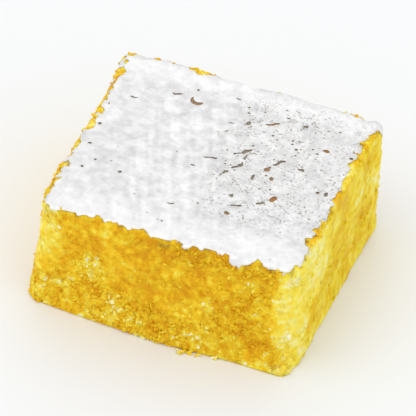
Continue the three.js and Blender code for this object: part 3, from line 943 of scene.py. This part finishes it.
def leaf_material():
    """Beaten silver: satin, nearly white, with fine crinkles and a slight cast from the coconut under it."""
    t = Nodes("silver_leaf")
    b = t.shader
    thin = t.attribute("thin")
    mottle = t.remap(t.noise(1500, 3, 0.6), 0.3, 0.7, 0.38, 0.73)
    # painted light and shade: the tint follows the sheet's ripples and broad waves
    mottle = t.math("MULTIPLY_ADD", t.attribute("ripple"), 0.42, mottle)
    mottle = t.math("ADD", mottle, t.remap(t.noise(560, 2), 0.34, 0.66, -0.33, 0.24), clamp=True)
    tint = t.mix(mottle, (0.635, 0.635, 0.64, 1), (0.87, 0.87, 0.87, 1))
    # painted sheen: the tint is lighter where the leaf curves over the rim and in bands near its front and back edges
    tint = t.mix(t.attribute("painted_sheen"), tint, (0.93, 0.93, 0.93, 1))
    colour = t.mix(thin, tint, (0.74, 0.715, 0.66, 1))
    # fine cracks, mostly where the leaf is worn, painted dark: partly the brown coconut they show, partly painted shade
    # in the narrow cracks
    specks = t.remap(t.noise(2500, 2.5, 0.6), 0.53, 0.62, 0, 1)
    patches = t.remap(t.noise(700, 2), 0.40, 0.54, 0, 1)
    worn = t.math("MULTIPLY", t.math("MULTIPLY", specks, patches), t.attribute("worn"))
    colour = t.mix(worn, colour, (0.38, 0.36, 0.34, 1))
    t.link(colour, b.inputs["Base Color"])
    b.inputs["Metallic"].default_value = 1.0
    t.link(t.remap(t.noise(900, 3), 0.3, 0.7, 0.44, 0.60), b.inputs["Roughness"])
    fine = t.new("Bump")
    fine.inputs["Strength"].default_value = 0.7
    fine.inputs["Distance"].default_value = 0.07 * MM
    t.link(t.noise(3800, 4, 0.65), fine.inputs["Height"])
    t.link(fine.outputs["Normal"], b.inputs["Normal"])
    return t.material


mass = coconut_material("coconut_mass", 0.40, 0.02, (0.6, 0.9, 0.62, 0.22))
grained = coconut_material("coconut_grain", 0.50, 0.035, (0.2, 0.20, 0.20, 0.16))
silver = leaf_material()

piece(
    new_mesh(
        "pressed_coconut",
        b_points[used],
        [renumber[b_quads], renumber[b_tris]],
        {
            "tone": kept(tone, 0.5),
            "deep": kept(deep, 0),
            "pale": kept(pale, 0),
            "brown_and_shade": kept(brown_and_shade, 0),
            "calm": kept(calm_at(normal), 0),
            "rust": kept(rust_at(u), 0),
        },
    ),
    mass,
    BLOCK,
)

# ------------------------------------------------------------------ silver leaf
def clip_quads(p, quads_, mask, extra):
    """The part of a quad mesh where mask is above zero, cut along the line where it is zero.
    Returns points, groups of faces, and the extra values at the points."""
    inside = mask > 0
    count = inside[quads_].sum(1)
    whole = quads_[count == 4]
    mixed = quads_[(count > 0) & (count < 4)]
    points, values = [p], [extra]
    made, fresh_a, fresh_b, fresh_t = {}, [], [], []
    groups = {}
    for q in mixed:
        poly = []
        for a, b in zip(q, np.roll(q, -1)):
            a, b = int(a), int(b)
            if inside[a]:
                poly.append(a)
            if inside[a] != inside[b]:
                k = (a, b) if a < b else (b, a)
                if k not in made:
                    made[k] = len(p) + len(fresh_a)
                    t = mask[k[0]] / (mask[k[0]] - mask[k[1]])
                    fresh_a.append(k[0])
                    fresh_b.append(k[1])
                    fresh_t.append(min(max(t, 0.06), 0.94))
                poly.append(made[k])
        if len(poly) >= 3:
            groups.setdefault(len(poly), []).append(poly)
    if fresh_a:
        t = np.array(fresh_t)[:, None]
        points.append(p[fresh_a] * (1 - t) + p[fresh_b] * t)
        values.append(extra[fresh_a] * (1 - t) + extra[fresh_b] * t)
    return np.concatenate(points), [whole] + [np.array(g) for g in groups.values()], np.concatenate(values)


def triangles(groups):
    out = []
    for g in groups:
        for n in range(1, g.shape[1] - 1):
            out.append(g[:, [0, n, n + 1]])
    return np.concatenate(out)


def large_islands(tris, n, least):
    """The triangles that belong to islands of at least so many triangles."""
    label = np.arange(n)
    while True:
        low = label[tris].min(1)
        new = label.copy()
        for k in range(3):
            np.minimum.at(new, tris[:, k], low)
        new = new[new]
        if (new == label).all():
            break
        label = new
    counts = np.bincount(label[tris[:, 0]], minlength=n)
    return tris[counts[label[tris[:, 0]]] >= least]


lu, lquads, _, _ = box_lattice(LEAF_SPACING, LEAF_BAND)
lnominal, lface = rounded_box(lu)
lbase = lnominal + lface * offsets_at(lu)[:, None]
lnormal = vertex_normals(lbase, lquads)
lshift, ltone, ldeep, _ = displacement(lbase, lnormal, lbase[:, 2])
ledges = edges_of(lquads)
# the leaf bridges the narrow pits
bridged = np.maximum(smoothed(lshift, ledges, 3), lshift)
bridged = np.maximum(smoothed(bridged, ledges, 2), lshift - 0.01 * MM)
# worn and mottled in the right half, nearly plain in the left
local = (lu * 2 - 1) * SIZE / 2 / MM
worn = smoothstep(-2.5, 3.5, local[:, 0]) * smoothstep(19, 12, np.abs(local[:, 1] - 2))
worn = np.clip(worn * (0.75 + 0.5 * fractal(lbase, 5 * MM, 2, seed=211)), 0, 1)
streaks = lbase @ np.array([[0.92, 0.39, 0], [-0.39 * 0.22, 0.92 * 0.22, 0], [0, 0, 1.0]]).T
crinkle = (
    0.020 * MM * (1 - 2 * np.abs(value_noise(lbase, 0.8 * MM, seed=201))) * (0.6 + 0.8 * worn)
    + 0.016 * MM * (1 - 2 * np.abs(value_noise(streaks, 0.9 * MM, seed=203)))
    + 0.014 * MM * value_noise(lbase, 0.37 * MM, seed=205)
    + 0.026 * MM * (1 - np.abs(fractal(streaks, 1.5 * MM, 2, seed=215))) ** 9  # narrow creases
)
# long faint ripples run from front to back, clearest left of the middle
along = lbase @ np.array([[0.95, -0.31 * 0.13, 0], [0.31, 0.95 * 0.13, 0], [0, 0, 1.0]])
ripple = 0.65 * value_noise(along, 0.85 * MM, seed=221) + 0.35 * value_noise(along, 0.45 * MM, seed=223)
ripple = ripple * (0.35 + 0.65 * smoothstep(-14, -9, local[:, 0]) * smoothstep(6, 1, local[:, 0]))
ripple = ripple + 0.45 * fractal(lbase, 4.5 * MM, 2, seed=225)
crinkle = crinkle + 0.010 * MM * ripple
mask, edge_in = leaf_mask(lbase, lu)
lift = 0.05 * MM * np.clip(value_noise(lbase, 1.7 * MM, seed=207), 0, 1) * smoothstep(0.5 * MM, 0, mask)
height = bridged + LEAF_GAP + np.maximum(crinkle, -0.02 * MM) + 0.02 * MM + lift
sheet = lbase + lnormal * height[:, None]
lpoints, lgroups, lextra = clip_quads(
    sheet, lquads, mask, np.column_stack([lnormal, edge_in, mask, worn, ripple, local[:, 1]])
)
ltris = large_islands(triangles(lgroups), len(lpoints), 60)
lused = np.unique(ltris)
lnumber = np.full(len(lpoints), -1)
lnumber[lused] = np.arange(len(lused))
ltris = lnumber[ltris]
top_side = lpoints[lused]
ln = lextra[lused, :3]
ln /= np.maximum(np.linalg.norm(ln, axis=1, keepdims=True), 1e-12)
low_side = top_side - ln * LEAF_THICK
n_top = len(top_side)
half_edges = np.concatenate([ltris[:, [0, 1]], ltris[:, [1, 2]], ltris[:, [2, 0]]])
codes = half_edges[:, 0] * n_top + half_edges[:, 1]
back_codes = half_edges[:, 1] * n_top + half_edges[:, 0]
border = half_edges[~np.isin(back_codes, codes)]
walls = np.stack([border[:, 1], border[:, 0], border[:, 0] + n_top, border[:, 1] + n_top], -1)
thin = np.clip(smoothstep(0.35 * MM, 0.0, lextra[lused, 4]) * 0.5, 0, 1)
lworn = lextra[lused, 5]
# the ripples also carry painted light and shade into the leaf's tint
ripple_shade, half_y = lextra[lused, 6], SIZE[1] / 2 / MM
front_in, back_in = half_y + lextra[lused, 7], half_y - lextra[lused, 7]
# painted sheen: lighter where the sheet curves down over the rim, and in bands near its front and back edges
rim_sheen = 0.72 * smoothstep(0.97, 0.6, ln[:, 2]) * (1 - 0.72 * smoothstep(0.1, 0.4, ln[:, 1]))
painted_sheen = np.maximum(rim_sheen, 0.42 * smoothstep(7.5, 2.0, front_in))
painted_sheen = np.maximum(painted_sheen, 0.46 * smoothstep(6.5, 3.0, back_in) * smoothstep(0.6, 2.4, back_in))
piece(
    new_mesh(
        "silver_leaf_sheet",
        np.concatenate([top_side, low_side]),
        [ltris, ltris[:, ::-1] + n_top, walls],
        {
            "thin": np.concatenate([thin, thin]),
            "worn": np.concatenate([lworn, lworn]),
            "painted_sheen": np.concatenate([painted_sheen, painted_sheen]),
            "ripple": np.concatenate([ripple_shade, ripple_shade]),
        },
    ),
    silver,
    LEAF,
)


# ------------------------------------------------------------------ grains of coconut on the cut faces, rim and foot
def rounded_shards(count, seed, cuts):
    """Irregular closed shapes about 1 across: cubes' lattices drawn in to a ball, cut flat here and there."""
    n = cuts
    g = np.arange(n + 1)
    keys, quads_ = {}, []

    def vid(a):
        return keys.setdefault(a, len(keys))

    for axis in range(3):
        for end in (0, n):
            for i in range(n):
                for j in range(n):
                    ring = [(i, j), (i + 1, j), (i + 1, j + 1), (i, j + 1)]
                    if (end == 0) != (axis == 1):
                        ring = ring[::-1]
                    q = []
                    for a, b in ring:
                        c = [a, b]
                        c.insert(axis, end)
                        q.append(vid(tuple(c)))
                    quads_.append(q)
    v = np.array(list(keys), float) / n * 2 - 1
    v /= np.linalg.norm(v, axis=1, keepdims=True) ** 0.8
    rng = np.random.default_rng(seed)
    shapes = []
    for _ in range(count):
        w = v.copy()
        for _ in range(5):
            d = rng.normal(size=3)
            d /= np.linalg.norm(d)
            far = w @ d
            at = rng.uniform(0.45, 0.85)
            w -= np.clip(far - at, 0, None)[:, None] * d * 0.9
        w *= 1 + 0.16 * rng.normal(size=(len(w), 1)).clip(-1.5, 1.5)
        shapes.append(w / np.abs(w).max())
    return np.array(shapes), np.array(quads_)


def spaced(points, radii, order, cell):
    """Which of the points are kept so that each keeps its distance from those kept before it."""
    grid, kept_ = {}, []
    cells = np.floor(points / cell).astype(int)
    for i in order:
        c = tuple(cells[i])
        ok = True
        for dx in (-1, 0, 1):
            for dy in (-1, 0, 1):
                for dz in (-1, 0, 1):
                    for j in grid.get((c[0] + dx, c[1] + dy, c[2] + dz), ()):
                        d = points[i] - points[j]
                        if d @ d < (radii[i] + radii[j]) ** 2:
                            ok = False
                            break
                    if not ok:
                        break
                if not ok:
                    break
            if not ok:
                break
        if ok:
            grid.setdefault(c, []).append(i)
            kept_.append(i)
    return np.array(kept_, int)


def crumbs_at_foot(rng):
    """Places of the few pale grains that lie on the surface against the front foot."""
    spots = []
    for x0, spread, count, out in ((4.2, 0.75, 12, 1.1), (8.7, 0.3, 4, 0.6), (-2.0, 0.2, 2, 0.3)):
        for _ in range(count):
            x = (x0 + spread * rng.normal()) * MM
            front = -40 * MM + cast((x, -40 * MM, 0.7 * MM), (0, 1, 0), 0.1)
            spots.append((x, front + (0.1 - out * rng.random()) * MM, 0))
    return np.array(spots)


def scatter(name, seed, wanted, sizes, crowding, cuts, sink, material, density, strays=False):
    """Grains of one kind, set into the mass. sizes gives (low, high) lengths in mm for the long, middle and short way."""
    rng = np.random.default_rng(seed)
    q = b_quads
    a, b, c, d = (b_points[q[:, k]] for k in range(4))
    area_ = 0.5 * np.linalg.norm(np.cross(c - a, d - b), axis=1)
    mid = (a + b + c + d) / 4
    nrm = np.cross(c - a, d - b)
    nrm /= np.maximum(np.linalg.norm(nrm, axis=1, keepdims=True), 1e-12)
    smooth_n = normal[q].mean(1)
    share = area_ * density(mid, smooth_n)
    pick = rng.choice(len(q), size=wanted * 4, p=share / share.sum())
    s, t = rng.random(len(pick)), rng.random(len(pick))
    at = (
        a[pick] * ((1 - s) * (1 - t))[:, None]
        + b[pick] * (s * (1 - t))[:, None]
        + c[pick] * (s * t)[:, None]
        + d[pick] * ((1 - s) * t)[:, None]
    )
    long_, mid_, short_ = (lo + (hi - lo) * rng.random(len(pick)) ** 1.6 for lo, hi in sizes)
    size = np.stack([long_, mid_, short_], -1) * MM / 2
    keep_ = spaced(at, size[:, :2].mean(1) * crowding, range(len(pick)), 1.6 * MM)[:wanted]
    at, size, n = at[keep_], size[keep_], smooth_n[pick[keep_]]
    n = n / np.linalg.norm(n, axis=1, keepdims=True)
    lying = np.zeros(len(at), bool)
    if strays:
        spots = crumbs_at_foot(rng)
        at = np.concatenate([at, spots])
        size = np.concatenate([size, size[: len(spots)] * 0.9])
        n = np.concatenate([n, np.tile((0.0, 0.0, 1.0), (len(spots), 1))])
        lying = np.append(lying, np.ones(len(spots), bool))
    m = len(at)
    # the short way faces out of the surface, give or take
    tilt = n + rng.normal(scale=0.38, size=(m, 3))
    z = tilt / np.linalg.norm(tilt, axis=1, keepdims=True)
    r = rng.normal(size=(m, 3))
    x = r - (r * z).sum(1, keepdims=True) * z
    x /= np.linalg.norm(x, axis=1, keepdims=True)
    y = np.cross(z, x)
    shapes, sq = rounded_shards(24, seed + 1, cuts)
    kind = rng.integers(0, len(shapes), m)
    white = sparkle_at(at) > 0.2
    size = np.where(white[:, None], 1.05 * size, size)
    proud = size[:, 2] * (1 - 2 * (sink[0] + (sink[1] - sink[0]) * rng.random(m)) * np.where(white, 0.6, 1))
    # less proud where the knife has pressed the face
    v = shapes[kind] * size[:, None, :]
    sunk = 0.10 * MM * smear_at(at) + 0.06 * MM * calm_at(n)
    proud = np.where(lying, size[:, 2] * 0.8, proud - sunk * ~white)
    centre_ = at + n * proud[:, None]
    world_ = centre_[:, None, :] + v[:, :, :1] * x[:, None] + v[:, :, 1:2] * y[:, None] + v[:, :, 2:] * z[:, None]
    world_[:, :, 2] = np.maximum(world_[:, :, 2], 0.005 * MM)
    faces = sq[None] + (np.arange(m) * v.shape[1])[:, None, None]
    tones = np.clip(rng.normal(0.48, 0.26, m), 0, 1)
    drawn = calm_at(n)  # on the right face the few grains are sunk and toned like the mass
    tones = tones + 0.6 * drawn * (0.5 - tones)
    glint = rng.random(m)
    often = 0.036 + 0.055 * smoothstep(8 * MM, 4 * MM, at[:, 2])
    # pale and white grains: partly pale coconut, partly painted glints standing in for highlights
    tones = np.where(glint < often * (n[:, 0] < 0.6), 1.0, tones)
    tones = np.where(glint < 0.14 * bright_at(at), 1.1, tones)
    tones = np.where(white, 0.85 + 0.6 * rng.random(m), tones)
    rep = lambda w: np.repeat(w, v.shape[1])
    _, covered_ = leaf_mask(at, box_shares(at, n))
    o = new_mesh(
        name,
        world_.reshape(-1, 3),
        [faces.reshape(-1, 4)],
        {
            "tone": rep(tones),
            "pale": rep(np.where(lying | white, 0.7, pale_at(at, n))),
            "calm": rep(calm_at(n) * ~white),
            # painted shadow of the leaf's edge on the grains just outside it
            "brown_and_shade": rep(brown_and_shade_at(at, np.minimum(covered_, 0)) * (tones < 1) * ~lying),
        },
    )
    return piece(o, material)


def box_shares(p, n):
    """Shares of the box for points on the block."""
    v = np.clip((unskewed(p) - MIDDLE) / SIZE + 0.5, 0, 1)
    v[n[:, 2] > 0.6, 2] = 1
    return v


def bright_at(p):
    """1 where grains are painted pale to white, partly pale coconut and partly painted glints: at the top of the front
    right corner, and in a band below the front rim.
    """
    corner = 0.4 * smoothstep(5 * MM, 2 * MM, corner_distance(p, 1, 0)) * smoothstep(9 * MM, 12 * MM, p[:, 2])
    below = smoothstep(1.2 * MM, 0.4 * MM, np.abs(p[:, 2] - HEIGHT + 3.4 * MM)) * (p[:, 1] < -0.3 * SIZE[1])
    below = below * (0.55 + 0.5 * smoothstep(4 * MM, -4 * MM, p[:, 0]))
    return np.clip(corner + below, 0, 1)


def sparkle_at(p):
    """1 in the small knots of white grains, partly white coconut and partly painted glints: two on the right face, one
    below the front rim.
    """
    corner = np.append(CORNERS[1, 0, 1], HEIGHT)
    out = np.zeros(len(p))
    for dx, dy, dz, r in ((-0.1, 9.2, -7.0, 1.2), (-0.1, 12.4, -6.6, 0.9), (-6.8, 0.1, -3.4, 0.9)):
        far = np.linalg.norm(p - corner - np.array([dx, dy, dz]) * MM, axis=1)
        out = np.maximum(out, smoothstep(r * MM, 0.55 * r * MM, far))
    return out


def density(p, n):
    """How thickly grains lie: over the cut sides and the bare rim, hardly where the knife smeared, none beneath the leaf."""
    v = box_shares(p, n)
    near_top = p[:, 2] > HEIGHT - 3.2 * MM
    _, mask_ = leaf_mask(p, v)
    covered = smoothstep(-0.15 * MM, 0.15 * MM, mask_) * near_top
    low = smoothstep(9 * MM, 2 * MM, p[:, 2])
    d = (1 - 0.55 * smear_at(p)) * (0.75 + 0.45 * low) * (1 - covered)
    d = d * np.where(n[:, 2] < -0.6, 0.0, 1.0)
    right = smoothstep(0.6, 0.95, n[:, 0])
    corner = smoothstep(3.2 * MM, 1.6 * MM, corner_distance(p, 1, 1)) * near_top  # the leaf wraps this corner cleanly
    d = d * (1 - corner)
    return d * (1 - 0.80 * right) * (1 - 0.45 * pale_at(p, n)) + 3.0 * sparkle_at(p) * (1 - covered)


scatter(
    "coconut_grains", 11, 2600, ((0.8, 1.7), (0.55, 0.95), (0.35, 0.65)), 0.52, 2, (0.45, 0.85), grained, density, True
)
scatter(
    "coconut_crumbs", 23, 3600, ((0.32, 0.7), (0.26, 0.5), (0.2, 0.4)), 0.55, 2, (0.25, 0.75), grained, density
)
